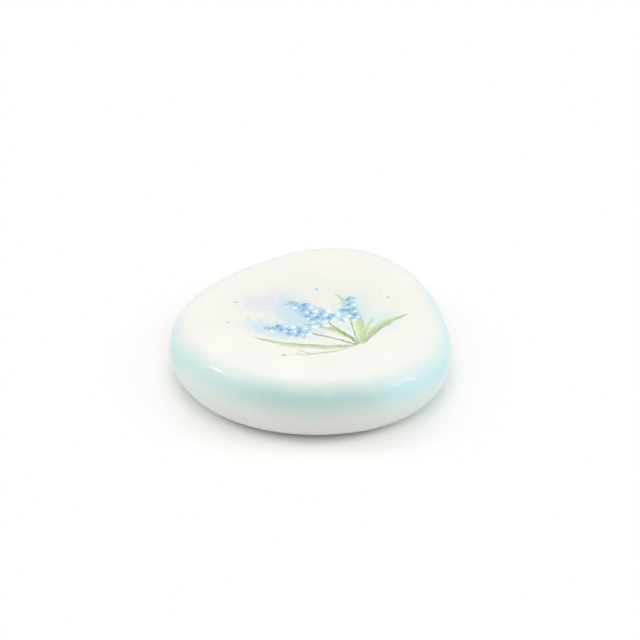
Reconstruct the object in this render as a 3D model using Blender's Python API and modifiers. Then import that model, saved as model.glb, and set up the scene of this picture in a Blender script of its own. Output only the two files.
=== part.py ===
"""Cutlery rest: a porcelain pebble with a dished top, slip-cast hollow and open underneath.

The porcelain stands on a bare foot ring. One coat of glaze covers its top and side down to that
ring, and a second coat lines the hollow. Metres, +Z up, origin on the table under the middle.
"""

import math

import bmesh
import bpy

# Outer form, measured over the glaze
WIDTH = 0.0700
DEPTH = 0.0664
WAIST_HEIGHT = 0.0080  # from the table to the widest line
SHOULDER_HEIGHT = 0.0080  # from the widest line to the crest of the rim
SHOULDER_ROUND = 0.0075  # from the widest line in to the crest
DISH_DEPTH = 0.0010  # of the top's middle below the crest

# Plan outline: an ellipse with three swells, each with the direction of one of its peaks
CORNER_SWELL = 0.0014  # three round corners
CORNER_DIRECTION = math.radians(72)
LEAN_SWELL = 0.00067  # longer along one diagonal
LEAN_DIRECTION = math.radians(45)
FLAT_SWELL = 0.00041  # four slight peaks, which flatten the sides
FLAT_DIRECTION = math.radians(-22.7)

# Foot ring
BELLY_CLEARANCE = 0.0006  # from the table up to the glazed belly
FOOT_INSET = 0.0070  # from the widest line in to the ring's outer face
FOOT_WIDTH = 0.0040
FOOT_EDGE = 0.0003  # chamfer on both edges of the standing face

# Porcelain walls round the hollow
SIDE_WALL = 0.0043
TOP_WALL = 0.0043
BASE_WALL = 0.0040  # from the table up to the ledge inside the foot ring

# Glaze
GLAZE_THICKNESS = 0.0004
GLAZE_CLEARANCE = 0.0003  # between a glaze coat and the porcelain
INNER_BARE_BAND = 0.0010  # from the table up to the inner coat's edge

# Fineness of the surfaces
SEGMENTS = 64
QUARTER_STEPS = 5
HOLLOW_STEPS = 8
DISH_STEPS = 4
SMOOTH_LIMIT = math.radians(40)

HEIGHT = WAIST_HEIGHT + SHOULDER_HEIGHT
SKIN = GLAZE_THICKNESS + GLAZE_CLEARANCE
BELLY_REACH = FOOT_INSET - GLAZE_CLEARANCE
BELLY_DROP = WAIST_HEIGHT - BELLY_CLEARANCE
MOUTH_INSET = FOOT_INSET + FOOT_WIDTH
HOLLOW_TOP = HEIGHT - DISH_DEPTH - SKIN - TOP_WALL


def clear_scene():
    for old in list(bpy.data.objects):
        bpy.data.objects.remove(old)


def raw_outline(angle):
    """A point of the plan outline before it is set to the exact width and depth."""
    swell = CORNER_SWELL * math.cos(3 * (angle - CORNER_DIRECTION))
    swell += LEAN_SWELL * math.cos(2 * (angle - LEAN_DIRECTION))
    swell += FLAT_SWELL * math.cos(4 * (angle - FLAT_DIRECTION))
    return (WIDTH / 2 + swell) * math.cos(angle), (DEPTH / 2 + swell) * math.sin(angle)


def plan_outline():
    """The widest line in plan, as (point, outward normal) pairs, counter-clockwise from above."""
    angles = [2 * math.pi * i / SEGMENTS for i in range(SEGMENTS)]
    raw = [raw_outline(angle) for angle in angles]
    lows = [min(point[axis] for point in raw) for axis in range(2)]
    highs = [max(point[axis] for point in raw) for axis in range(2)]
    points = []
    for point in raw:
        x = ((point[0] - lows[0]) / (highs[0] - lows[0]) - 0.5) * WIDTH
        y = ((point[1] - lows[1]) / (highs[1] - lows[1]) - 0.5) * DEPTH
        points.append((x, y))
    pairs = []
    for i, point in enumerate(points):
        before = points[i - 1]
        after = points[(i + 1) % SEGMENTS]
        along_x = after[0] - before[0]
        along_y = after[1] - before[1]
        length = math.hypot(along_x, along_y)
        pairs.append((point, (along_y / length, -along_x / length)))
    return pairs


def ring(outline, inset, height, share=1.0):
    """A level ring that lies inset from the widest line, then drawn in to a share of its size."""
    points = []
    for (x, y), (normal_x, normal_y) in outline:
        points.append((share * (x - inset * normal_x), share * (y - inset * normal_y), height))
    return points


def quarter(across, rise, depth):
    """Steps of a quarter ellipse from its upright end, as (inset, height) pairs.

    The curve lies depth inside the ellipse of these two half sizes.
    """
    steps = []
    for i in range(QUARTER_STEPS + 1):
        turn = math.pi / 2 * i / QUARTER_STEPS
        normal_in = math.cos(turn) / across
        normal_up = math.sin(turn) / rise
        length = math.hypot(normal_in, normal_up)
        inset = across * (1 - math.cos(turn)) + depth * normal_in / length
        height = rise * math.sin(turn) - depth * normal_up / length
        steps.append((inset, height))
    return steps


def outer_rings(outline, depth):
    """Rings from the dish's middle over the rim to the belly's edge, depth below the glaze face."""
    rings = []
    for i in range(1, DISH_STEPS):
        share = i / DISH_STEPS
        sunk = DISH_DEPTH * (1 - share**2) ** 2
        rings.append(ring(outline, SHOULDER_ROUND, HEIGHT - sunk - depth, share))
    for inset, height in reversed(quarter(SHOULDER_ROUND, SHOULDER_HEIGHT, depth)):
        rings.append(ring(outline, inset, WAIST_HEIGHT + height))
    for inset, height in quarter(BELLY_REACH, BELLY_DROP, depth)[1:]:
        rings.append(ring(outline, inset, WAIST_HEIGHT - height))
    return rings


def foot_rings(outline):
    """Rings round the bare foot, from its root on the belly over the standing face to the mouth."""
    section = [
        (FOOT_INSET, BELLY_CLEARANCE + SKIN),
        (FOOT_INSET, FOOT_EDGE),
        (FOOT_INSET + FOOT_EDGE, 0),
        (MOUTH_INSET - FOOT_EDGE, 0),
        (MOUTH_INSET, FOOT_EDGE),
    ]
    return [ring(outline, inset, height) for inset, height in section]


def hollow_rings(outline, depth):
    """Rings of the hollow from its roof's edge down to the ledge inside the foot ring.

    They lie depth inside the hollow, away from the porcelain.
    """
    middle = (HOLLOW_TOP + BASE_WALL) / 2
    rise = (HOLLOW_TOP - BASE_WALL) / 2 - depth
    across = MOUTH_INSET - SKIN - SIDE_WALL - depth
    rings = []
    for i in range(HOLLOW_STEPS + 1):
        turn = math.pi * (0.5 - i / HOLLOW_STEPS)
        inset = MOUTH_INSET - across * math.cos(turn)
        rings.append(ring(outline, inset, middle + rise * math.sin(turn)))
    return rings


def loft(name, rings, first_pole, last_pole=None):
    """A mesh object through level rings, closed at its first pole and, if given, at its last."""
    shape = bmesh.new()
    loops = [[shape.verts.new(point) for point in points] for points in rings]
    first = shape.verts.new(first_pole)
    last = shape.verts.new(last_pole) if last_pole else None
    for i in range(SEGMENTS):
        j = (i + 1) % SEGMENTS
        shape.faces.new((first, loops[0][i], loops[0][j]))
        for upper, lower in zip(loops, loops[1:]):
            shape.faces.new((upper[i], lower[i], lower[j], upper[j]))
        if last:
            shape.faces.new((loops[-1][j], loops[-1][i], last))
    mesh = bpy.data.meshes.new(name)
    shape.to_mesh(mesh)
    shape.free()
    mesh.shade_smooth()
    mesh.set_sharp_from_angle(angle=SMOOTH_LIMIT)
    return bpy.data.objects.new(name, mesh)


def thicken(piece):
    """Turns a coat's face into a closed coat, which grows towards the inside of the form."""
    solidify = piece.modifiers.new("glaze_thickness", "SOLIDIFY")
    solidify.thickness = GLAZE_THICKNESS
    solidify.offset = -1
    solidify.use_even_offset = True
    solidify.use_rim = True


def finish(name, colour, roughness):
    """A Principled material in one colour."""
    material = bpy.data.materials.new(name)
    material.use_nodes = True
    shader = material.node_tree.nodes["Principled BSDF"]
    shader.inputs["Base Color"].default_value = (*colour, 1)
    shader.inputs["Roughness"].default_value = roughness
    shader.inputs["Metallic"].default_value = 0
    return material


def porcelain_body(outline):
    """The cast porcelain: outer wall, foot ring and hollow in one closed skin."""
    rings = outer_rings(outline, SKIN)
    rings += foot_rings(outline)
    rings += reversed(hollow_rings(outline, 0))
    top_middle = (0, 0, HEIGHT - DISH_DEPTH - SKIN)
    piece = loft("porcelain_body", rings, top_middle, (0, 0, HOLLOW_TOP))
    piece.data.materials.append(finish("bare_porcelain", (0.84, 0.82, 0.77), 0.6))
    return piece


def outer_glaze(outline):
    """The coat over the top and the side, down to the foot ring."""
    piece = loft("outer_glaze", outer_rings(outline, 0), (0, 0, HEIGHT - DISH_DEPTH))
    thicken(piece)
    piece.data.materials.append(finish("painted_glaze", (0.90, 0.93, 0.89), 0.07))
    return piece


def inner_glaze(outline):
    """The coat that lines the hollow, down to a bare band above the standing face."""
    rings = hollow_rings(outline, GLAZE_CLEARANCE)
    mouth = MOUTH_INSET + GLAZE_CLEARANCE
    rings.append(ring(outline, mouth, BASE_WALL + GLAZE_CLEARANCE))
    rings.append(ring(outline, mouth, INNER_BARE_BAND))
    piece = loft("inner_glaze", rings, (0, 0, HOLLOW_TOP - GLAZE_CLEARANCE))
    thicken(piece)
    piece.data.materials.append(finish("plain_glaze", (0.88, 0.88, 0.84), 0.1))
    return piece


def main():
    clear_scene()
    outline = plan_outline()
    body = porcelain_body(outline)
    coats = [outer_glaze(outline), inner_glaze(outline)]
    collection = bpy.data.collections.new("cutlery_rest")
    bpy.context.scene.collection.children.link(collection)
    for piece in [body, *coats]:
        collection.objects.link(piece)
    for coat in coats:
        coat.parent = body


main()
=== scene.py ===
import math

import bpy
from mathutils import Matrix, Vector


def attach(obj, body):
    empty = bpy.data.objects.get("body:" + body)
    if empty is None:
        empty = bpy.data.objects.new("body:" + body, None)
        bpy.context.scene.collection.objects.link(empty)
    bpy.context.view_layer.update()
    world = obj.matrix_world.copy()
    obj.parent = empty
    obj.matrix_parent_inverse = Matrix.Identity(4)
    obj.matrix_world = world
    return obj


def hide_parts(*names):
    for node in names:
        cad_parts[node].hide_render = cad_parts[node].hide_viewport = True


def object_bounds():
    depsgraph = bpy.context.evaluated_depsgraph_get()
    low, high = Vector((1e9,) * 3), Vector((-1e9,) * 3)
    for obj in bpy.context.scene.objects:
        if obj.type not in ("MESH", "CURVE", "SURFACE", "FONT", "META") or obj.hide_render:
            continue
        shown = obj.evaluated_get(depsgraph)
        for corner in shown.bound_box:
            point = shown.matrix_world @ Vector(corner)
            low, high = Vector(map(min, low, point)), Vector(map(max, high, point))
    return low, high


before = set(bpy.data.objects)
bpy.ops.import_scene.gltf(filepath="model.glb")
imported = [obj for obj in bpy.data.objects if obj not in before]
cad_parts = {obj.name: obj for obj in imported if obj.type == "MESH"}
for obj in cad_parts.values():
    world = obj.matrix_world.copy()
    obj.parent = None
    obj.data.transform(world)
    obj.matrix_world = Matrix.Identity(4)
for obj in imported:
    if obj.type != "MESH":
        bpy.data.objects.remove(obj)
cad_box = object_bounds()

# Looks of the cutlery rest: the porcelain and its two glaze coats as fine meshes, which repeat the
# part's own section at a smaller step, with their materials, the painting, light and camera.
# Metres, +Z up, origin on the table under the middle. The materials and the painting are laid out
# in millimetres.

MILLIMETRES = 1000.0  # in a metre
WHITE = (1, 1, 1, 1)

# Outer form, measured over the glaze. The overall size is the frame's own.
WIDTH = cad_box[1][0] - cad_box[0][0]
DEPTH = cad_box[1][1] - cad_box[0][1]
HEIGHT = cad_box[1][2] - cad_box[0][2]
WAIST_HEIGHT = 0.0080  # from the table to the widest line
SHOULDER_HEIGHT = HEIGHT - WAIST_HEIGHT
SHOULDER_ROUND = 0.0075  # from the widest line in to the crest of the rim
DISH_DEPTH = 0.0010

# Plan outline: an ellipse with three swells, each with the direction of one of its peaks
CORNER_SWELL = 0.0014
CORNER_DIRECTION = math.radians(72)
LEAN_SWELL = 0.00067
LEAN_DIRECTION = math.radians(45)
FLAT_SWELL = 0.00041
FLAT_DIRECTION = math.radians(-22.7)

# Foot ring, walls and glaze
BELLY_CLEARANCE = 0.0006
FOOT_INSET = 0.0070
FOOT_WIDTH = 0.0040
FOOT_EDGE = 0.0003
SIDE_WALL = 0.0043
TOP_WALL = 0.0043
BASE_WALL = 0.0040
GLAZE_THICKNESS = 0.0004
GLAZE_CLEARANCE = 0.0003
INNER_BARE_BAND = 0.0010
SKIN = GLAZE_THICKNESS + GLAZE_CLEARANCE
BELLY_REACH = FOOT_INSET - GLAZE_CLEARANCE
BELLY_DROP = WAIST_HEIGHT - BELLY_CLEARANCE
MOUTH_INSET = FOOT_INSET + FOOT_WIDTH
HOLLOW_TOP = HEIGHT - DISH_DEPTH - SKIN - TOP_WALL

# Fineness of the surfaces
SEGMENTS = 256
DISH_STEPS = 36
QUARTER_STEPS = 26
HIDDEN_DISH_STEPS = 6
HIDDEN_QUARTER_STEPS = 8
HOLLOW_STEPS = 24
EDGE_STEPS = 8
SMOOTH_LIMIT = math.radians(40)

# Map for textures, in shares of its square: the coat's face as a disc, its hidden back as a small one
MAP_NAME = "OFBake"
FACE_DISC = (0.5, 0.5, 0.495)
BACK_DISC = (0.07, 0.07, 0.065)

# Camera, from the photograph: where the table's origin falls in its picture, and the scale there
PICTURE_SIDE = 640
ORIGIN_PIXEL = (310.22, 363.81)
PIXELS_PER_METRE = 3974
VIEW_ELEVATION = math.radians(38)
VIEW_DISTANCE = 0.600
SENSOR_WIDTH = 36.0
NEAR_CLIP = 0.01

# Light. The white surround lights things at WORLD_STRENGTH, and is seen and mirrored at 1.
WORLD_STRENGTH = 0.13
LAMP_DISTANCE = 0.85
NEUTRAL = (1.0, 1.0, 1.0)
COOL = (0.88, 0.97, 1.0)
# Softboxes, which the glaze doesn't mirror: bearing from the camera's side (+ to the right) and
# elevation in degrees, width, height, power in watts and colour
SOFTBOXES = {
    "front_softbox": (0, 62, 0.85, 0.85, 3.25, NEUTRAL),
    "back_softbox": (180, 62, 0.85, 0.85, 2.25, NEUTRAL),
    "left_softbox": (-95, 25, 0.42, 0.58, 2.45, NEUTRAL),
    "right_softbox": (90, 25, 0.42, 0.58, 2.45, COOL),
}
# Small lamps, which the glaze mirrors: bearing, elevation, width, height, and their brightness against
# the white surround
GLINTS = {
    "left_glint": (-97, 50, 0.15, 0.13, 4.0),
    "left_streak": (-98, 63, 0.08, 0.30, 1.5),
    "right_streak": (79, 39, 0.05, 0.44, 4.5),
    "right_fainter_streak": (66, 44, 0.05, 0.40, 3.2),
    "front_spark": (7, 53.5, 0.05, 0.05, 11.0),
    "right_spark": (40, 41, 0.05, 0.05, 9.0),
}

# Floor: how it is seen, how it throws light back, and where it runs out into the white surround, as
# distances from the middle
FLOOR_SIDE = 6.0
FLOOR_COLOUR = (0.985, 0.970, 0.938, 1)
FLOOR_BOUNCE = (0.86, 0.86, 0.86, 1)
FADE_START = 0.030
FADE_END = 0.052


def linear(red, green, blue):
    """A colour given in the usual 0 to 255 steps, as the linear values that nodes take."""
    values = []
    for step in (red, green, blue):
        share = step / 255
        values.append(share / 12.92 if share <= 0.04045 else ((share + 0.055) / 1.055) ** 2.4)
    return (*values, 1)


# Colours of the glazes, the bare porcelain and the enamel
IVORY = linear(248, 247, 239)
IVORY_CLOUD = linear(244, 244, 236)
CREAM = linear(240, 239, 230)
BLUSH = linear(252, 242, 235)
# Darker, greyer teal for the front of the spray: partly its own hue, partly painted shade
SHADED_TEAL_SPRAY = linear(190, 221, 216)
AQUA_SPRAY = linear(197, 233, 232)
SKY_SPRAY = linear(197, 239, 241)
THIN_GLAZE = linear(243, 243, 238)
POOLED_GLAZE = linear(226, 236, 233)
BISQUE = linear(236, 234, 227)
WARM_BISQUE = linear(231, 226, 214)
SCUFFED_BISQUE = linear(190, 186, 178)
IRON_SPECK = linear(150, 130, 108)
DEEP_BLUE = linear(96, 150, 200)
MID_BLUE = linear(150, 198, 230)
PALE_BLUE = linear(204, 228, 242)
PETAL_WHITE = linear(253, 254, 254)
DEEP_GREEN = linear(118, 158, 96)
MID_GREEN = linear(170, 202, 130)
PALE_GREEN = linear(220, 233, 184)
CORAL = linear(244, 184, 150)
STRAW = linear(240, 224, 158)
BLUE_WASH = linear(190, 222, 240)
AQUA_WASH = linear(208, 237, 231)
LILAC_WASH = linear(224, 224, 239)

# Gloss and relief. Scales of a pattern are per millimetre, and reliefs in metres.
GLAZE_ROUGHNESS = 0.09
ENAMEL_ROUGHNESS = 0.08  # on top of the glaze's
GLAZE_RIPPLE_SCALE = 0.35
GLAZE_RELIEF = 0.00002
ENAMEL_RELIEF_SHARE = 0.5
BISQUE_GRAIN_SCALE = 5.0
BISQUE_ROUGHNESS = 0.50
BISQUE_GRAIN_ROUGHNESS = 0.25  # on top of that, where the grain is full
BISQUE_RELIEF = 0.00003
HOLLOW_ROUGHNESS = 0.06
HOLLOW_RIPPLE_ROUGHNESS = 0.08  # on top of that, where the ripple is full
HOLLOW_RIPPLE_SCALE = 0.45

# Glaze on the top: the scale of its clouds and the range of the pattern that they take up
CLOUD_SCALE = 0.06
CLOUD_RANGE = (0.40, 0.62)
# A darker, creamier patch over the dish, and a blush at the back: place, half sizes, and where each
# begins and is full, as shares of the half sizes
DARKER_DISH = ((2.0, 4.0), (34.0, 22.0), (1.1, 0.3))
BLUSH_PATCH = ((6.0, 21.5), (11.0, 9.0), (1.0, 0.1))
BLUSH_STRENGTH = 0.65

# The spray round the rim: its strength against the slope, from level (0) over upright (0.5) to the
# underside (1)
SPRAY_PROFILE = [
    (0.00, 0.00),
    (0.03, 0.06),
    (0.06, 0.20),
    (0.10, 0.39),
    (0.17, 0.69),
    (0.24, 1.00),
    (0.29, 0.98),
    (0.35, 0.72),
    (0.41, 0.42),
    (0.46, 0.18),
    (0.51, 0.04),
    (1.00, 0.00),
]
# How the spray changes round the rim, by bearing from the front in degrees, + to the right: how much
# lower its band lies, as a slope, its strength, and the strength that is left below the band
SPRAY_ROUND = [
    (-180, 0.150, 0.62, 0.45),
    (-96, 0.150, 0.84, 0.50),
    (-74, 0.122, 0.88, 0.50),
    (-62, 0.046, 0.79, 0.46),
    (-52, 0.026, 0.74, 0.28),
    (-32, 0.005, 0.83, 0.13),
    (-16, 0.000, 1.00, 0.03),
    (14, 0.000, 1.00, 0.03),
    (30, 0.032, 0.82, 0.16),
    (48, 0.082, 0.74, 0.20),
    (62, 0.118, 0.77, 0.45),
    (74, 0.120, 0.80, 0.50),
    (94, 0.105, 0.86, 0.50),
    (180, 0.150, 0.62, 0.45),
]
# Slopes over which the spray below the band sets in
SPRAY_TAIL = (0.24, 0.42)
# How the band's edges waver, as a slope, and how the spray's strength varies: scale and size
SPRAY_FEATHER = (0.16, 0.06)
SPRAY_MIST = (3.0, 0.24)
# Where the spray's hue turns, by the heading from the middle: its share to the right, from aqua to sky
# blue, and its share to the back, from both to a darker, greyer teal at the front, partly the spray's
# own hue and partly painted shade of the front
SKY_TURN = (-0.25, 0.55)
TEAL_SHADE_TURN = (-0.75, -0.97)

# The painting, in millimetres from the middle of the top, +X right and +Y to the back. The painter's
# hand drifts slowly and trembles: scale and reach of each
HAND = [(0.45, 1.2), (2.2, 0.14)]
ENAMEL_GRAIN_SCALE = 1.8
# Washes: place, half sizes, direction in degrees, colour, strength
WASHES = [
    ((-3.0, 0.5), (13.0, 8.0), 125, BLUE_WASH, 0.75),
    ((-9.0, -6.0), (11.0, 5.0), 160, BLUE_WASH, 0.60),
    ((10.5, 2.0), (6.0, 10.0), 0, AQUA_WASH, 0.80),
    ((-12.0, 5.0), (8.0, 5.0), 20, LILAC_WASH, 0.60),
    ((17.0, -3.0), (7.0, 6.0), 40, AQUA_WASH, 0.60),
]
# How the washes' edges cloud, as a scale and a share of the half sizes, and where a wash begins and
# is full
WASH_CLOUD = (0.5, 1.1)
WASH_FADE = (1.0, 0.2)

# Leaves: base, direction in degrees, length, half width and bow as shares of the length, two tones
LEAVES = [
    ((12.0, -12.5), 172, 27.0, 0.034, 0.080, DEEP_GREEN, PALE_GREEN),
    ((12.5, -12.3), 107, 23.0, 0.060, -0.100, MID_GREEN, PALE_GREEN),
    ((12.5, -12.3), 44, 17.0, 0.080, 0.120, DEEP_GREEN, PALE_GREEN),
    ((11.5, -11.8), 148, 16.0, 0.062, -0.130, DEEP_GREEN, PALE_GREEN),
    ((12.6, -12.0), 72, 11.0, 0.075, 0.100, MID_GREEN, PALE_GREEN),
    ((11.0, -13.0), 192, 17.0, 0.013, 0.060, DEEP_GREEN, MID_GREEN),
    ((1.2, -16.1), 152, 5.4, 0.030, 0.080, DEEP_GREEN, MID_GREEN),
]
# A leaf's width runs as a power of the way from its base and of the way to its tip, times its fullness
LEAF_BASE_POWER = 0.55
LEAF_TIP_POWER = 0.80
LEAF_FULLNESS = 2.45
LEAF_SOFT_EDGE = 0.16  # share of the half width over which the leaf fades out
# Tone of a leaf, from dark (0) to light (1): along its middle, and how much it changes to its edges
LEAF_TONE = 0.58
LEAF_TONE_ACROSS = 0.42
# Brush hairs in a leaf, as counts along its length and across it, and how much they change its tone
LEAF_HAIRS = (5.0, 60.0, 0.0)
LEAF_HAIR_TONE = 1.3
# The dark tone at a leaf's tip and base, where it sets in as a share of the length, and its strength
TIP_START = 0.76
TIP_ACCENT = 0.60
BASE_END = 0.25
BASE_ACCENT = 0.45
# The dark tone at a leaf's vein and edge, how far it reaches as a share of the half width, and its
# strength
VEIN_REACH = 0.12
VEIN_ACCENT = 0.35
EDGE_REACH = 0.26
EDGE_ACCENT = 0.30
# How a leaf covers, and how much more where the enamel's grain is full
LEAF_COVER = 0.52
LEAF_GRAIN_COVER = 0.6

# Flower stalks: base, direction in degrees, length; and as shares of the length, the bow, the half
# width of the spike, where it begins and the spacing of its bells
STALKS = [
    ((11.7, -12.5), 134, 27.0, -0.060, 0.155, 0.42, 0.078),
    ((12.2, -12.5), 96, 22.0, 0.050, 0.150, 0.45, 0.092),
    ((11.5, -12.6), 163, 26.0, -0.070, 0.120, 0.48, 0.080),
]
# A stem's edge, as a share of the length from outside to inside, and its strength
STEM_EDGE = (0.0135, 0.006)
STEM_STRENGTH = 0.85
# A spike narrows to its tip as this power of the way that is left
SPIKE_POWER = 0.6
# A spike's haze: how it covers, how much more where the enamel's grain is full, and the range of the
# grain over which darker flecks set in, with their strength
HAZE_COVER = 0.15
HAZE_GRAIN_COVER = 0.9
HAZE_FLECKS = (0.53, 0.62)
HAZE_FLECK_STRENGTH = 0.9
# Bells: how freely they scatter, how they hang down and lean outwards, their half length and half
# width as shares of their spacing, how much smaller they are at the tip, and how they cover
BELL_SCATTER = 0.65
BELL_HANG = -0.55
BELL_LEAN = 0.9
BELL_HALF_LENGTH = 0.66
BELL_HALF_WIDTH = 0.50
BELL_SHRINK = 0.40
BELL_COVER = 0.94
# Tone of a bell at its root, and how much it changes along the bell, from bell to bell, with the
# enamel's grain and towards the spike's tip
BELL_TONE = 0.42
BELL_TONE_ALONG = 0.80
BELL_TONE_CHANCE = 0.40
BELL_TONE_GRAIN = 0.40
BELL_TONE_CLIMB = -0.30
# Colours of a bell by that tone
BELL_TONES = [(0.05, DEEP_BLUE), (0.30, MID_BLUE), (0.55, PALE_BLUE), (0.78, PETAL_WHITE)]

# Buds: place, half sizes, direction in degrees, colour
BUDS = [
    ((-6.3, -16.6), (0.90, 0.55), 190, CORAL),
    ((-3.0, -15.7), (0.60, 0.42), 140, CORAL),
    ((-4.1, -13.4), (0.70, 0.45), 150, STRAW),
    ((-0.9, -13.7), (0.50, 0.36), 100, STRAW),
    ((-16.2, 7.4), (0.55, 0.38), 120, PALE_BLUE),
    ((-18.3, 4.8), (0.60, 0.42), 30, MID_BLUE),
    ((19.6, 6.6), (0.62, 0.42), 50, MID_BLUE),
    ((17.4, 9.0), (0.50, 0.36), 110, PALE_BLUE),
    ((-20.3, -3.4), (0.52, 0.36), 20, MID_BLUE),
    ((1.6, 10.8), (0.60, 0.40), 140, MID_BLUE),
    ((4.4, 12.3), (0.45, 0.34), 80, STRAW),
]
BUD_FADE = (1.0, 0.45)
BUD_STRENGTH = 0.85

# Flecks round the flowers: place, half sizes and direction in degrees of their field, their spacing,
# least radius and how much larger they get, the share of places left bare in the middle of the field
# and how many more at its edge, and their strength
FLECK_FIELD = ((-1.0, -1.0), (23.0, 13.0), 160)
FLECK_SPACING = 1.9
FLECK_RADIUS = 0.25
FLECK_GROWTH = 0.45
FLECK_BARE = 0.42
FLECK_THINNING = 0.55
FLECK_STRENGTH = 0.55

# Bare porcelain: its clouds as on the top, specks per millimetre with their radius from outside to
# inside and their strength, and how far up from the table it is scuffed
BISQUE_CLOUD_SCALE = 0.22
BISQUE_CLOUD_RANGE = (0.38, 0.62)
SPECK_SCALE = 0.55
SPECK_EDGE = (0.16, 0.05)
SPECK_STRENGTH = 0.6
SCUFF_HEIGHT = 0.25
# Glaze in the hollow: its clouds, where it begins to pool and is full, above the ledge, how unevenly,
# and the pool's strength
HOLLOW_CLOUD_SCALE = 0.20
POOLING = (2.4, 0.6)
POOLING_UNEVEN = 1.6
POOLING_STRENGTH = 0.8

# What a painted motif's node group gives
PAINTED = [("Color", "Color"), ("Cover", "Float")]


def raw_outline(angle):
    """A point of the plan outline before it is set to the exact width and depth."""
    swell = CORNER_SWELL * math.cos(3 * (angle - CORNER_DIRECTION))
    swell += LEAN_SWELL * math.cos(2 * (angle - LEAN_DIRECTION))
    swell += FLAT_SWELL * math.cos(4 * (angle - FLAT_DIRECTION))
    return (WIDTH / 2 + swell) * math.cos(angle), (DEPTH / 2 + swell) * math.sin(angle)


def plan_outline():
    """The widest line in plan, as (point, outward normal) pairs, counter-clockwise from above."""
    raw = [raw_outline(2 * math.pi * i / SEGMENTS) for i in range(SEGMENTS)]
    lows = [min(point[axis] for point in raw) for axis in range(2)]
    highs = [max(point[axis] for point in raw) for axis in range(2)]
    points = []
    for point in raw:
        x = ((point[0] - lows[0]) / (highs[0] - lows[0]) - 0.5) * WIDTH
        y = ((point[1] - lows[1]) / (highs[1] - lows[1]) - 0.5) * DEPTH
        points.append(Vector((x, y)))
    pairs = []
    for i, point in enumerate(points):
        along = (points[(i + 1) % SEGMENTS] - points[i - 1]).normalized()
        pairs.append((point, Vector((along.y, -along.x))))
    return pairs


def quarter(across, rise, depth, steps):
    """Steps of a quarter ellipse from its upright end, as (inset, height) pairs.

    The curve lies depth inside the ellipse of these two half sizes.
    """
    pairs = []
    for i in range(steps + 1):
        turn = math.pi / 2 * i / steps
        normal_in = math.cos(turn) / across
        normal_up = math.sin(turn) / rise
        length = math.hypot(normal_in, normal_up)
        inset = across * (1 - math.cos(turn)) + depth * normal_in / length
        pairs.append((inset, rise * math.sin(turn) - depth * normal_up / length))
    return pairs


def outer_section(depth, dish_steps, quarter_steps):
    """Stations (inset, height, share) from the dish over the rim to the belly's edge."""
    stations = []
    for i in range(1, dish_steps):
        share = i / dish_steps
        sunk = DISH_DEPTH * (1 - share**2) ** 2
        stations.append((SHOULDER_ROUND, HEIGHT - sunk - depth, share))
    for inset, height in reversed(quarter(SHOULDER_ROUND, SHOULDER_HEIGHT, depth, quarter_steps)):
        stations.append((inset, WAIST_HEIGHT + height, 1.0))
    for inset, height in quarter(BELLY_REACH, BELLY_DROP, depth, quarter_steps)[1:]:
        stations.append((inset, WAIST_HEIGHT - height, 1.0))
    return stations


def hollow_section(depth):
    """Stations of the hollow from its roof's edge down to the ledge inside the foot ring."""
    middle = (HOLLOW_TOP + BASE_WALL) / 2
    rise = (HOLLOW_TOP - BASE_WALL) / 2 - depth
    across = MOUTH_INSET - SKIN - SIDE_WALL - depth
    stations = []
    for i in range(HOLLOW_STEPS + 1):
        turn = math.pi * (0.5 - i / HOLLOW_STEPS)
        stations.append((MOUTH_INSET - across * math.cos(turn), middle + rise * math.sin(turn), 1.0))
    return stations


def rounded_edge(inset, height, across, rise, start, end):
    """Stations along part of an ellipse, between directions in degrees: 0 points inwards and 90 up."""
    stations = []
    for i in range(EDGE_STEPS + 1):
        turn = math.radians(start + (end - start) * i / EDGE_STEPS)
        stations.append((inset + across * math.cos(turn), height + rise * math.sin(turn), 1.0))
    return stations


def lined_section(depth):
    """Stations of the hollow and round the ledge's edge into the mouth, depth off the porcelain."""
    return hollow_section(depth) + rounded_edge(MOUTH_INSET, BASE_WALL, depth, depth, 90, 0)[1:]


def loft(name, outline, stations, first_height, last_height):
    """A closed smooth mesh object through level rings, with a pole on the axis at both ends."""
    points = [Vector((0, 0, first_height))]
    for inset, height, share in stations:
        for point, normal in outline:
            flat = share * (point - inset * normal)
            points.append(Vector((flat.x, flat.y, height)))
    points.append(Vector((0, 0, last_height)))
    last = len(points) - 1
    faces = []
    for i in range(SEGMENTS):
        j = (i + 1) % SEGMENTS
        faces.append((0, 1 + i, 1 + j))
        for k in range(len(stations) - 1):
            upper = 1 + k * SEGMENTS
            lower = upper + SEGMENTS
            faces.append((upper + i, lower + i, lower + j, upper + j))
        lowest = 1 + (len(stations) - 1) * SEGMENTS
        faces.append((lowest + j, lowest + i, last))
    mesh = bpy.data.meshes.new(name)
    mesh.from_pydata(points, [], faces)
    mesh.shade_smooth()
    mesh.set_sharp_from_angle(angle=SMOOTH_LIMIT)
    piece = bpy.data.objects.new(name, mesh)
    bpy.context.scene.collection.objects.link(piece)
    return piece


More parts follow.
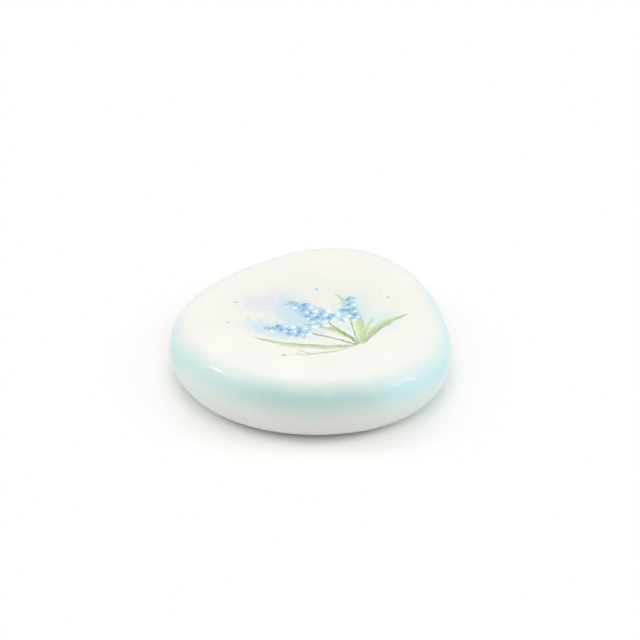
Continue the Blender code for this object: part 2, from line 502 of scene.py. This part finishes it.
def lay_flat(piece, stations, face_rings):
    """Gives a coat its map.

    The first face_rings rings lie in the face's disc, and the rest in the back's.
    """
    mean_radius = (WIDTH + DEPTH) / 4
    section = [(share * (mean_radius - inset), height) for inset, height, share in stations]
    walked = [0.0, section[0][0]]
    for (radius, height), (next_radius, next_height) in zip(section, section[1:]):
        walked.append(walked[-1] + math.hypot(next_radius - radius, next_height - height))
    edge = walked[face_rings]
    end = walked[-1] + section[-1][0]
    walked.append(end)
    flat = []
    for face in piece.data.polygons:
        rings = [(vertex - 1) // SEGMENTS for vertex in face.vertices]
        on_back = max(rings) >= face_rings
        middle_u, middle_v, radius = BACK_DISC if on_back else FACE_DISC
        for vertex, ring in zip(face.vertices, rings):
            turn = 2 * math.pi * ((vertex - 1) % SEGMENTS) / SEGMENTS
            done = walked[ring + 1]
            reach = radius * ((end - done) / (end - edge) if on_back else done / edge)
            flat.append(middle_u + reach * math.cos(turn))
            flat.append(middle_v + reach * math.sin(-turn if on_back else turn))
    piece.data.uv_layers.new(name=MAP_NAME).data.foreach_set("uv", flat)


class Graph:
    """A shader node tree that grows by calls: most of them add one node and return its output."""

    def __init__(self, tree):
        self.tree = tree

    def node(self, kind, inputs, **settings):
        node = self.tree.nodes.new("ShaderNode" + kind)
        for name, value in settings.items():
            setattr(node, name, value)
        for key, value in inputs.items():
            if isinstance(value, bpy.types.NodeSocket):
                self.tree.links.new(value, node.inputs[key])
            else:
                node.inputs[key].default_value = value
        return node

    def math(self, operation, *values, clamp=False):
        inputs = dict(enumerate(values))
        return self.node("Math", inputs, operation=operation, use_clamp=clamp).outputs[0]

    def vector(self, operation, *values, output="Vector"):
        inputs = dict(enumerate(values))
        return self.node("VectorMath", inputs, operation=operation).outputs[output]

    def scale(self, vector, factor):
        return self.node("VectorMath", {0: vector, "Scale": factor}, operation="SCALE").outputs[0]

    def split(self, vector):
        return self.node("SeparateXYZ", {0: vector}).outputs

    def join(self, x, y):
        return self.node("CombineXYZ", {0: x, 1: y}).outputs[0]

    def step(self, value, start, end, low=0.0, high=1.0):
        """Runs smoothly from low to high while value goes from start to end."""
        inputs = {"Value": value, "From Min": start, "From Max": end, "To Min": low, "To Max": high}
        return self.node("MapRange", inputs, interpolation_type="SMOOTHSTEP").outputs[0]

    def noise(self, place, scale, detail=2.0, output=0):
        inputs = {"Vector": place, "Scale": scale, "Detail": detail}
        return self.node("TexNoise", inputs).outputs[output]

    def mix(self, share, under, over):
        """Mixes two colours. Mix has an A and a B for every type, so they go by number."""
        inputs = {0: share, 6: under, 7: over}
        return self.node("Mix", inputs, data_type="RGBA").outputs[2]

    def ramp(self, value, stops):
        node = self.node("ValToRGB", {0: value})
        elements = node.color_ramp.elements
        while len(elements) < len(stops):
            elements.new(1.0)
        for element, (position, colour) in zip(elements, stops):
            element.position = position
            element.color = colour
        return node.outputs[0]


def new_material(name):
    """A material with a Principled shader, as (material, its graph, the shader node)."""
    material = bpy.data.materials.new(name)
    material.use_nodes = True
    return material, Graph(material.node_tree), material.node_tree.nodes["Principled BSDF"]


def motif_group(name, inputs):
    """A motif's empty node group, as (group, its graph, its input sockets, its output node)."""
    tree = bpy.data.node_groups.new(name, "ShaderNodeTree")
    for socket, kind in inputs:
        tree.interface.new_socket(name=socket, in_out="INPUT", socket_type="NodeSocket" + kind)
    for socket, kind in PAINTED:
        tree.interface.new_socket(name=socket, in_out="OUTPUT", socket_type="NodeSocket" + kind)
    entry = tree.nodes.new("NodeGroupInput").outputs
    return tree, Graph(tree), entry, tree.nodes.new("NodeGroupOutput")


def place_on_object(graph):
    """The place on the object, in millimetres."""
    return graph.scale(graph.node("TexCoord", {}).outputs["Object"], MILLIMETRES)


def put(graph, place, where, direction, scale):
    """Place seen from a motif: its base at the origin, its axis along +X, its length as the unit."""
    inputs = {
        "Vector": place,
        "Location": (*where, 0),
        "Rotation": (0, 0, math.radians(direction)),
        "Scale": scale,
    }
    return graph.node("Mapping", inputs, vector_type="TEXTURE").outputs[0]


def distance_in(graph, place, where, halves, direction=0):
    """Distance from the middle of an oval, as a share of its half sizes."""
    return graph.vector("LENGTH", put(graph, place, where, direction, (*halves, 1)), output="Value")


def raise_surface(graph, shader, height, relief):
    """Raises a shader's surface by a height from 0 to 1, where 1 stands for relief in metres."""
    bump = graph.node("Bump", {"Height": height, "Distance": relief})
    graph.tree.links.new(bump.outputs[0], shader.inputs["Normal"])


def bowed(graph, place, bow):
    """The place along a motif's axis, kept between 0 and 1, and across it.

    The axis bows aside by a share of its length.
    """
    along, aside = graph.split(place)[:2]
    share = graph.math("ADD", along, 0.0, clamp=True)
    hump = graph.math("MULTIPLY", share, graph.math("SUBTRACT", 1.0, share))
    hump = graph.math("MULTIPLY", hump, graph.math("MULTIPLY", bow, 4.0))
    return share, graph.math("SUBTRACT", aside, hump)


def leaf_group():
    """One brushed leaf over what is under it, along its own axis from 0 to 1."""
    inputs = [("Under", "Color"), ("Place", "Vector"), ("Bow", "Float"), ("Half Width", "Float"),
              ("Grain", "Float"), ("Dark", "Color"), ("Light", "Color")]
    tree, graph, entry, result = motif_group("brushed_leaf", inputs)
    half = entry["Half Width"]
    share, across = bowed(graph, entry["Place"], entry["Bow"])
    rest = graph.math("SUBTRACT", 1.0, share)
    from_base = graph.math("POWER", share, LEAF_BASE_POWER)
    to_tip = graph.math("POWER", rest, LEAF_TIP_POWER)
    belly = graph.math("MULTIPLY", graph.math("MULTIPLY", from_base, to_tip), LEAF_FULLNESS)
    width = graph.math("MULTIPLY", belly, half)
    aside = graph.math("ABSOLUTE", across)
    inside = graph.math("SUBTRACT", width, aside)
    mask = graph.step(inside, 0.0, graph.math("MULTIPLY", half, LEAF_SOFT_EDGE))
    hairs = graph.noise(graph.vector("MULTIPLY", entry["Place"], LEAF_HAIRS), 1.0)
    hairs = graph.math("MULTIPLY_ADD", hairs, LEAF_HAIR_TONE, -LEAF_HAIR_TONE / 2)
    tone = graph.math("MULTIPLY_ADD", graph.math("DIVIDE", across, half), LEAF_TONE_ACROSS, LEAF_TONE)
    tone = graph.math("ADD", tone, hairs, clamp=True)
    colour = graph.mix(tone, entry["Dark"], entry["Light"])
    accents = [
        (graph.step(share, TIP_START, 1.0), TIP_ACCENT),
        (graph.step(share, BASE_END, 0.0), BASE_ACCENT),
        (graph.step(aside, graph.math("MULTIPLY", half, VEIN_REACH), 0.0), VEIN_ACCENT),
        (graph.step(inside, graph.math("MULTIPLY", half, EDGE_REACH), 0.0), EDGE_ACCENT),
    ]
    darkest = 0.0
    for accent, strength in accents:
        darkest = graph.math("MAXIMUM", darkest, graph.math("MULTIPLY", accent, strength))
    colour = graph.mix(darkest, colour, entry["Dark"])
    thin = graph.math("MULTIPLY_ADD", entry["Grain"], LEAF_GRAIN_COVER, LEAF_COVER, clamp=True)
    thin = graph.math("MULTIPLY", thin, graph.step(share, 0.0, 0.10, 0.4, 1.0))
    cover = graph.math("MULTIPLY", mask, thin)
    tree.links.new(graph.mix(cover, entry["Under"], colour), result.inputs["Color"])
    tree.links.new(cover, result.inputs["Cover"])
    return tree


def spike_reach(graph, entry, along):
    """The half width of a spike at a place along its stalk, and that place as a share of the spike."""
    length = graph.math("SUBTRACT", 1.0, entry["Start"])
    climbed = graph.math("DIVIDE", graph.math("SUBTRACT", along, entry["Start"]), length)
    climbed = graph.math("ADD", climbed, 0.0, clamp=True)
    left = graph.math("SUBTRACT", 1.0, climbed)
    return graph.math("MULTIPLY", graph.math("POWER", left, SPIKE_POWER), entry["Half Width"]), climbed


def spike_haze(graph, entry, along, aside):
    """The soft blue haze in which the bells of a spike stand."""
    reach, climbed = spike_reach(graph, entry, along)
    haze = graph.step(graph.math("SUBTRACT", reach, aside), -0.02, 0.06)
    haze = graph.math("MULTIPLY", haze, graph.step(climbed, 0.0, 0.10))
    cover = graph.math("MULTIPLY_ADD", entry["Grain"], HAZE_GRAIN_COVER, HAZE_COVER)
    return graph.math("MULTIPLY", haze, cover)


def paint_bells(graph, entry, place):
    """The colour and the cover of a spike's bells.

    Each bell is one dab that hangs outwards, blue at its root and white at its mouth.
    """
    bell = entry["Bell"]
    inputs = {"Vector": place, "Scale": graph.math("DIVIDE", 1.0, bell), "Randomness": BELL_SCATTER}
    cells = graph.node("TexVoronoi", inputs, voronoi_dimensions="2D").outputs
    root_along, root_across = graph.split(cells["Position"])[:2]
    chance = graph.split(cells["Color"])[0]
    reach, climbed = spike_reach(graph, entry, root_along)
    spare = graph.math("SUBTRACT", reach, graph.math("ABSOLUTE", root_across))
    keep = graph.math("MULTIPLY", graph.step(spare, 0.0, 0.01), graph.step(climbed, 0.0, 0.03))
    lean = graph.math("MULTIPLY", graph.math("DIVIDE", root_across, entry["Half Width"]), BELL_LEAN)
    hang = graph.vector("NORMALIZE", graph.join(BELL_HANG, lean))
    offset = graph.vector("SUBTRACT", place, cells["Position"])
    down = graph.math("DIVIDE", graph.vector("DOT_PRODUCT", offset, hang, output="Value"), bell)
    sideways = graph.vector("LENGTH", graph.vector("CROSS_PRODUCT", offset, hang), output="Value")
    sideways = graph.math("DIVIDE", graph.math("DIVIDE", sideways, bell), BELL_HALF_WIDTH)
    oval = graph.join(graph.math("DIVIDE", down, BELL_HALF_LENGTH), sideways)
    ring = graph.vector("LENGTH", oval, output="Value")
    ring = graph.math("DIVIDE", ring, graph.math("MULTIPLY_ADD", climbed, -BELL_SHRINK, 1.0))
    cover = graph.math("MULTIPLY", keep, graph.step(ring, 1.0, 0.80))
    tone = graph.math("MULTIPLY_ADD", chance, BELL_TONE_CHANCE, BELL_TONE)
    tone = graph.math("MULTIPLY_ADD", down, BELL_TONE_ALONG, tone)
    tone = graph.math("MULTIPLY_ADD", climbed, BELL_TONE_CLIMB, tone)
    grain = graph.math("MULTIPLY_ADD", entry["Grain"], BELL_TONE_GRAIN, -BELL_TONE_GRAIN / 2)
    tone = graph.math("ADD", tone, grain, clamp=True)
    petal = graph.ramp(tone, BELL_TONES)
    rim = graph.math("MULTIPLY_ADD", tone, -0.35, 0.45)
    rim = graph.math("MULTIPLY", graph.step(ring, 0.62, 0.98), rim)
    return graph.mix(rim, petal, MID_BLUE), graph.math("MULTIPLY", cover, BELL_COVER)


def stalk_group():
    """One flower stalk, along its own axis from 0 to 1: a stem, and a spike of bells at its end."""
    inputs = [("Under", "Color"), ("Place", "Vector"), ("Bow", "Float"), ("Half Width", "Float"),
              ("Start", "Float"), ("Bell", "Float"), ("Grain", "Float")]
    tree, graph, entry, result = motif_group("bell_stalk", inputs)
    along = graph.split(entry["Place"])[0]
    share, across = bowed(graph, entry["Place"], entry["Bow"])
    aside = graph.math("ABSOLUTE", across)
    ends = graph.math("MULTIPLY", graph.step(along, 0.0, 0.02), graph.step(along, 0.96, 0.90))
    stem = graph.math("MULTIPLY", graph.step(aside, *STEM_EDGE), ends)
    stem = graph.math("MULTIPLY", stem, STEM_STRENGTH)
    colour = graph.mix(stem, entry["Under"], graph.mix(share, DEEP_GREEN, MID_GREEN))
    haze = graph.math("MULTIPLY", spike_haze(graph, entry, along, aside), ends)
    colour = graph.mix(haze, colour, MID_BLUE)
    fleck = graph.math("MULTIPLY", graph.step(entry["Grain"], *HAZE_FLECKS), haze)
    colour = graph.mix(graph.math("MULTIPLY", fleck, HAZE_FLECK_STRENGTH), colour, DEEP_BLUE)
    petal, cover = paint_bells(graph, entry, graph.join(along, across))
    tree.links.new(graph.mix(cover, colour, petal), result.inputs["Color"])
    under = graph.math("MAXIMUM", stem, haze)
    tree.links.new(graph.math("MAXIMUM", cover, under), result.inputs["Cover"])
    return tree


def paint_motif(graph, tree, colour, cover, inputs):
    """Adds one motif's group over the painting so far, and returns the new colour and cover."""
    outputs = graph.node("Group", {"Under": colour, **inputs}, node_tree=tree).outputs
    return outputs["Color"], graph.math("MAXIMUM", cover, outputs["Cover"])


def ivory_glaze(graph, place, flat):
    """The glaze before the spray: warm ivory with faint clouds, creamier in the dish, with a blush."""
    cloud = graph.noise(place, CLOUD_SCALE, 3.0)
    colour = graph.mix(graph.step(cloud, *CLOUD_RANGE), IVORY, IVORY_CLOUD)
    # A patch over the dish, darker and creamier towards its middle
    where, halves, fade = DARKER_DISH
    darker_dish = graph.step(distance_in(graph, flat, where, halves), *fade)
    colour = graph.mix(darker_dish, colour, CREAM)
    where, halves, fade = BLUSH_PATCH
    blush = graph.step(distance_in(graph, flat, where, halves), *fade)
    return graph.mix(graph.math("MULTIPLY", blush, BLUSH_STRENGTH), colour, BLUSH)


def spray_rim(graph, place, flat, colour):
    """Spray in a band round the rim, which lies lower and paler away from the front. Its darker teal at
    the front is partly painted shade.
    """
    heading = graph.split(graph.vector("NORMALIZE", flat))
    bearing = graph.math("ARCTAN2", heading[0], graph.math("MULTIPLY", heading[1], -1.0))
    turn = graph.math("MULTIPLY_ADD", bearing, 0.5 / math.pi, 0.5)
    stops = [(degrees / 360 + 0.5, (*values, 1)) for degrees, *values in SPRAY_ROUND]
    drop, level, below = graph.split(graph.ramp(turn, stops))
    up = graph.split(graph.node("NewGeometry", {}).outputs["Normal"])[2]
    slope = graph.math("MULTIPLY", graph.math("ARCCOSINE", up), 1 / math.pi)
    scale, size = SPRAY_FEATHER
    feather = graph.math("MULTIPLY_ADD", graph.noise(place, scale, 4.0), size, -size / 2)
    slope = graph.math("ADD", graph.math("SUBTRACT", slope, drop), feather)
    stops = [(position, (value, value, value, 1)) for position, value in SPRAY_PROFILE]
    band = graph.split(graph.ramp(slope, stops))[0]
    below = graph.math("MULTIPLY", below, graph.step(slope, *SPRAY_TAIL))
    band = graph.math("MAXIMUM", graph.math("MULTIPLY", band, level), below)
    scale, size = SPRAY_MIST
    mist = graph.math("MULTIPLY_ADD", graph.noise(place, scale), size, 1 - size / 2)
    band = graph.math("MULTIPLY", band, mist, clamp=True)
    hue = graph.mix(graph.step(heading[0], *SKY_TURN), AQUA_SPRAY, SKY_SPRAY)
    # Darker teal towards the front: partly painted shade of the front
    hue = graph.mix(graph.step(heading[1], *TEAL_SHADE_TURN), hue, SHADED_TEAL_SPRAY)
    return graph.mix(band, colour, hue)


def hand_place(graph, flat):
    """The place on the top as the painter's hand finds it, a little off the true one."""
    hand = flat
    for scale, reach in HAND:
        drift = graph.noise(flat, scale, output="Color")
        drift = graph.vector("SUBTRACT", drift, (0.5, 0.5, 0.5))
        hand = graph.vector("ADD", hand, graph.scale(drift, reach))
    return graph.vector("MULTIPLY", hand, (1, 1, 0))


def paint_washes(graph, hand, colour):
    """Broad thin washes with cloudy edges."""
    scale, size = WASH_CLOUD
    cloud = graph.math("MULTIPLY_ADD", graph.noise(hand, scale, 3.0), size, -size / 2)
    for where, halves, direction, tint, strength in WASHES:
        reach = graph.math("ADD", distance_in(graph, hand, where, halves, direction), cloud)
        share = graph.math("MULTIPLY", graph.step(reach, *WASH_FADE), strength)
        colour = graph.mix(share, colour, tint)
    return colour


def paint_flecks(graph, hand, colour):
    """Small pale dabs, scattered more thinly the farther they lie from the middle of their field."""
    far = distance_in(graph, hand, *FLECK_FIELD)
    inputs = {"Vector": hand, "Scale": 1 / FLECK_SPACING, "Randomness": 1.0}
    cells = graph.node("TexVoronoi", inputs, voronoi_dimensions="2D").outputs
    chance, size, tint = graph.split(cells["Color"])
    bare = graph.math("MULTIPLY_ADD", graph.math("MULTIPLY", far, far), FLECK_THINNING, FLECK_BARE)
    keep = graph.step(graph.math("SUBTRACT", chance, bare), 0.0, 0.05)
    away = graph.vector("DISTANCE", hand, cells["Position"], output="Value")
    radius = graph.math("MULTIPLY_ADD", size, FLECK_GROWTH, FLECK_RADIUS)
    share = graph.step(away, radius, graph.math("MULTIPLY", radius, 0.4))
    share = graph.math("MULTIPLY", share, graph.math("MULTIPLY", keep, FLECK_STRENGTH))
    return graph.mix(share, colour, graph.mix(tint, PALE_BLUE, BLUE_WASH)), share


def paint_leaves(graph, hand, grain, colour, cover):
    """The brushed leaves, one over the other."""
    tree = leaf_group()
    for where, direction, length, half, bow, dark, light in LEAVES:
        place = put(graph, hand, where, direction, (length, length, length))
        inputs = {
            "Place": place,
            "Bow": bow,
            "Half Width": half,
            "Grain": grain,
            "Dark": dark,
            "Light": light,
        }
        colour, cover = paint_motif(graph, tree, colour, cover, inputs)
    return colour, cover


def paint_stalks(graph, hand, grain, colour, cover):
    """The flower stalks, one over the other."""
    tree = stalk_group()
    for where, direction, length, bow, half, start, bell in STALKS:
        place = put(graph, hand, where, direction, (length, length, length))
        inputs = {
            "Place": place,
            "Bow": bow,
            "Half Width": half,
            "Start": start,
            "Bell": bell,
            "Grain": grain,
        }
        colour, cover = paint_motif(graph, tree, colour, cover, inputs)
    return colour, cover


def paint_buds(graph, hand, colour, cover):
    """Small round dabs beside the flowers."""
    for where, halves, direction, tint in BUDS:
        share = graph.step(distance_in(graph, hand, where, halves, direction), *BUD_FADE)
        share = graph.math("MULTIPLY", share, BUD_STRENGTH)
        colour = graph.mix(share, colour, tint)
        cover = graph.math("MAXIMUM", cover, share)
    return colour, cover


def painted_glaze():
    """The glossy coat with its spray and painting."""
    material, graph, shader = new_material("painted_glaze")
    place = place_on_object(graph)
    flat = graph.vector("MULTIPLY", place, (1, 1, 0))
    colour = ivory_glaze(graph, place, flat)
    colour = spray_rim(graph, place, flat, colour)
    hand = hand_place(graph, flat)
    grain = graph.noise(flat, ENAMEL_GRAIN_SCALE, 4.0)
    colour = paint_washes(graph, hand, colour)
    colour, cover = paint_flecks(graph, hand, colour)
    colour, cover = paint_leaves(graph, hand, grain, colour, cover)
    colour, cover = paint_stalks(graph, hand, grain, colour, cover)
    colour, cover = paint_buds(graph, hand, colour, cover)
    graph.tree.links.new(colour, shader.inputs["Base Color"])
    roughness = graph.math("MULTIPLY_ADD", cover, ENAMEL_ROUGHNESS, GLAZE_ROUGHNESS)
    graph.tree.links.new(roughness, shader.inputs["Roughness"])
    ripple = graph.noise(place, GLAZE_RIPPLE_SCALE, 1.0)
    height = graph.math("MULTIPLY_ADD", cover, ENAMEL_RELIEF_SHARE, ripple)
    raise_surface(graph, shader, height, GLAZE_RELIEF)
    return material


def bare_porcelain():
    """Unglazed porcelain: a fine dry grain with a few dark specks, scuffed grey where it stands."""
    material, graph, shader = new_material("bare_porcelain")
    place = place_on_object(graph)
    grain = graph.noise(place, BISQUE_GRAIN_SCALE, 5.0)
    cloud = graph.noise(place, BISQUE_CLOUD_SCALE, 3.0)
    colour = graph.mix(graph.step(cloud, *BISQUE_CLOUD_RANGE), BISQUE, WARM_BISQUE)
    colour = graph.mix(graph.step(grain, 0.50, 0.80, 0.0, 0.35), colour, SCUFFED_BISQUE)
    specks = graph.node("TexVoronoi", {"Vector": place, "Scale": SPECK_SCALE}).outputs
    away = graph.vector("DISTANCE", place, specks["Position"], output="Value")
    colour = graph.mix(graph.step(away, *SPECK_EDGE, 0.0, SPECK_STRENGTH), colour, IRON_SPECK)
    low = graph.step(graph.split(place)[2], SCUFF_HEIGHT, 0.0)
    worn = graph.math("MULTIPLY", low, graph.step(grain, 0.30, 0.65, 0.1, 0.6))
    colour = graph.mix(worn, colour, SCUFFED_BISQUE)
    graph.tree.links.new(colour, shader.inputs["Base Color"])
    roughness = graph.math("MULTIPLY_ADD", grain, BISQUE_GRAIN_ROUGHNESS, BISQUE_ROUGHNESS)
    graph.tree.links.new(roughness, shader.inputs["Roughness"])
    raise_surface(graph, shader, grain, BISQUE_RELIEF)
    return material


def plain_glaze():
    """The clear glaze in the hollow: ivory, and greener where it ran down and pooled."""
    material, graph, shader = new_material("plain_glaze")
    place = place_on_object(graph)
    cloud = graph.noise(place, HOLLOW_CLOUD_SCALE, 3.0)
    ripple = graph.noise(place, HOLLOW_RIPPLE_SCALE)
    height = graph.math("MULTIPLY_ADD", cloud, POOLING_UNEVEN, graph.split(place)[2])
    ledge = BASE_WALL * MILLIMETRES
    pooled = graph.step(height, ledge + POOLING[0], ledge + POOLING[1])
    colour = graph.mix(graph.step(cloud, *CLOUD_RANGE), THIN_GLAZE, IVORY_CLOUD)
    colour = graph.mix(graph.math("MULTIPLY", pooled, POOLING_STRENGTH), colour, POOLED_GLAZE)
    graph.tree.links.new(colour, shader.inputs["Base Color"])
    roughness = graph.math("MULTIPLY_ADD", ripple, HOLLOW_RIPPLE_ROUGHNESS, HOLLOW_ROUGHNESS)
    graph.tree.links.new(roughness, shader.inputs["Roughness"])
    raise_surface(graph, shader, ripple, GLAZE_RELIEF)
    return material


def outer_glaze(outline):
    """The coat over the top and the side: face, a rounded edge that meets the foot, and hidden back."""
    half = GLAZE_THICKNESS / 2
    face = outer_section(0, DISH_STEPS, QUARTER_STEPS)
    edge = rounded_edge(BELLY_REACH, BELLY_CLEARANCE + half, GLAZE_CLEARANCE, half, -90, 90)[1:-1]
    back = outer_section(GLAZE_THICKNESS, HIDDEN_DISH_STEPS, HIDDEN_QUARTER_STEPS)
    stations = face + edge + list(reversed(back))
    top = HEIGHT - DISH_DEPTH
    piece = loft("outer_glaze_coat", outline, stations, top, top - GLAZE_THICKNESS)
    lay_flat(piece, stations, len(face) + len(edge))
    piece.data.materials.append(painted_glaze())
    return piece


def porcelain_body(outline):
    """The cast porcelain: outer wall, foot ring and hollow in one closed skin."""
    stations = outer_section(SKIN, HIDDEN_DISH_STEPS, HIDDEN_QUARTER_STEPS)
    stations.append((FOOT_INSET, BELLY_CLEARANCE + SKIN, 1.0))
    stations += rounded_edge(FOOT_INSET + FOOT_EDGE, FOOT_EDGE, FOOT_EDGE, FOOT_EDGE, 180, 270)
    stations += rounded_edge(MOUTH_INSET - FOOT_EDGE, FOOT_EDGE, FOOT_EDGE, FOOT_EDGE, 270, 360)
    stations += reversed(hollow_section(0))
    piece = loft("porcelain_casting", outline, stations, HEIGHT - DISH_DEPTH - SKIN, HOLLOW_TOP)
    piece.data.materials.append(bare_porcelain())
    return piece


def inner_glaze(outline):
    """The coat that lines the hollow and its mouth, down to a bare band above the standing face."""
    half = SKIN / 2
    back = lined_section(GLAZE_CLEARANCE)
    edge = rounded_edge(MOUTH_INSET + half, INNER_BARE_BAND + half, half, half, 180, 360)
    face = lined_section(SKIN)
    stations = back + edge + list(reversed(face))
    roof = HOLLOW_TOP - GLAZE_CLEARANCE
    piece = loft("inner_glaze_coat", outline, stations, roof, roof - GLAZE_THICKNESS)
    piece.data.materials.append(plain_glaze())
    return piece


def add_camera():
    """A camera where the photograph was taken from, turned so that the origin falls in its place."""
    back = Vector((0, -math.cos(VIEW_ELEVATION), math.sin(VIEW_ELEVATION)))
    up = Vector((0, math.sin(VIEW_ELEVATION), math.cos(VIEW_ELEVATION)))
    right = Vector((1, 0, 0))
    aim = right * (PICTURE_SIDE / 2 - ORIGIN_PIXEL[0]) / PIXELS_PER_METRE
    aim += up * (ORIGIN_PIXEL[1] - PICTURE_SIDE / 2) / PIXELS_PER_METRE
    data = bpy.data.cameras.new("camera")
    data.sensor_width = SENSOR_WIDTH
    data.lens = SENSOR_WIDTH * PIXELS_PER_METRE * VIEW_DISTANCE / PICTURE_SIDE
    data.clip_start = NEAR_CLIP
    camera = bpy.data.objects.new("camera", data)
    camera.location = back * VIEW_DISTANCE
    camera.rotation_euler = (aim - camera.location).to_track_quat("-Z", "Y").to_euler()
    bpy.context.scene.collection.objects.link(camera)
    bpy.context.scene.camera = camera


def add_lamp(name, bearing, elevation, width, height, power):
    """A flat lamp that faces the middle of the object."""
    data = bpy.data.lights.new(name, "AREA")
    data.shape = "ELLIPSE"
    data.size = width
    data.size_y = height
    data.energy = power
    turn = math.radians(bearing)
    rise = math.radians(elevation)
    toward = Vector((math.cos(rise) * math.sin(turn), -math.cos(rise) * math.cos(turn), math.sin(rise)))
    lamp = bpy.data.objects.new(name, data)
    lamp.location = toward * LAMP_DISTANCE
    lamp.rotation_euler = toward.to_track_quat("Z", "Y").to_euler()
    bpy.context.scene.collection.objects.link(lamp)
    return lamp


def add_lamps():
    """The softboxes, and the small lamps that the glaze mirrors."""
    for name, (bearing, elevation, width, height, power, colour) in SOFTBOXES.items():
        lamp = add_lamp(name, bearing, elevation, width, height, power)
        lamp.data.color = colour
        lamp.visible_glossy = False
    for name, (bearing, elevation, width, height, brightness) in GLINTS.items():
        area = math.pi / 4 * width * height
        add_lamp(name, bearing, elevation, width, height, brightness * math.pi * area)


def seen_directly(graph):
    """1 for what the camera, the gloss and clear things see, and 0 for light that falls on things."""
    path = graph.node("LightPath", {}).outputs
    seen = graph.math("MAXIMUM", path["Is Camera Ray"], path["Is Glossy Ray"])
    return graph.math("MAXIMUM", seen, path["Is Transmission Ray"])


def add_world():
    """An even white surround, which the camera and the gloss see at full white.

    Sockets 2 and 3 of Mix are its two plain numbers.
    """
    world = bpy.data.worlds.new("studio")
    world.use_nodes = True
    graph = Graph(world.node_tree)
    background = world.node_tree.nodes["Background"]
    background.inputs["Color"].default_value = WHITE
    inputs = {0: seen_directly(graph), 2: WORLD_STRENGTH, 3: 1.0}
    level = graph.node("Mix", inputs, data_type="FLOAT").outputs[0]
    world.node_tree.links.new(level, background.inputs["Strength"])
    bpy.context.scene.world = world


def add_floor():
    """A wide sheet of white paper, which takes the object's shadow and fades into the surround."""
    mesh = bpy.data.meshes.new("floor")
    side = FLOOR_SIDE / 2
    corners = [(-side, -side, 0), (side, -side, 0), (side, side, 0), (-side, side, 0)]
    mesh.from_pydata(corners, [], [(0, 1, 2, 3)])
    material, graph, shader = new_material("white_paper")
    seen = seen_directly(graph)
    colour = graph.mix(seen, FLOOR_BOUNCE, FLOOR_COLOUR)
    paper = graph.node("BsdfDiffuse", {"Color": colour})
    surround = graph.node("Emission", {"Color": WHITE, "Strength": 1.0})
    place = graph.node("TexCoord", {}).outputs["Object"]
    fade = graph.step(graph.vector("LENGTH", place, output="Value"), FADE_START, FADE_END)
    share = graph.math("MULTIPLY", fade, seen)
    surface = graph.node("MixShader", {0: share, 1: paper.outputs[0], 2: surround.outputs[0]})
    output = graph.tree.nodes["Material Output"]
    graph.tree.links.new(surface.outputs[0], output.inputs["Surface"])
    graph.tree.nodes.remove(shader)
    mesh.materials.append(material)
    floor = bpy.data.objects.new("floor", mesh)
    bpy.context.scene.collection.objects.link(floor)


def main():
    outline = plan_outline()
    pieces = [
        (outer_glaze(outline), "outer_glaze", "painted_glaze"),
        (porcelain_body(outline), "porcelain_body", "porcelain"),
        (inner_glaze(outline), "inner_glaze", "plain_glaze"),
    ]
    for piece, node, slot in pieces:
        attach(piece, "root")
        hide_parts(node)
    add_camera()
    add_floor()
    add_world()
    add_lamps()
    bpy.context.scene.view_settings.view_transform = "Standard"


main()
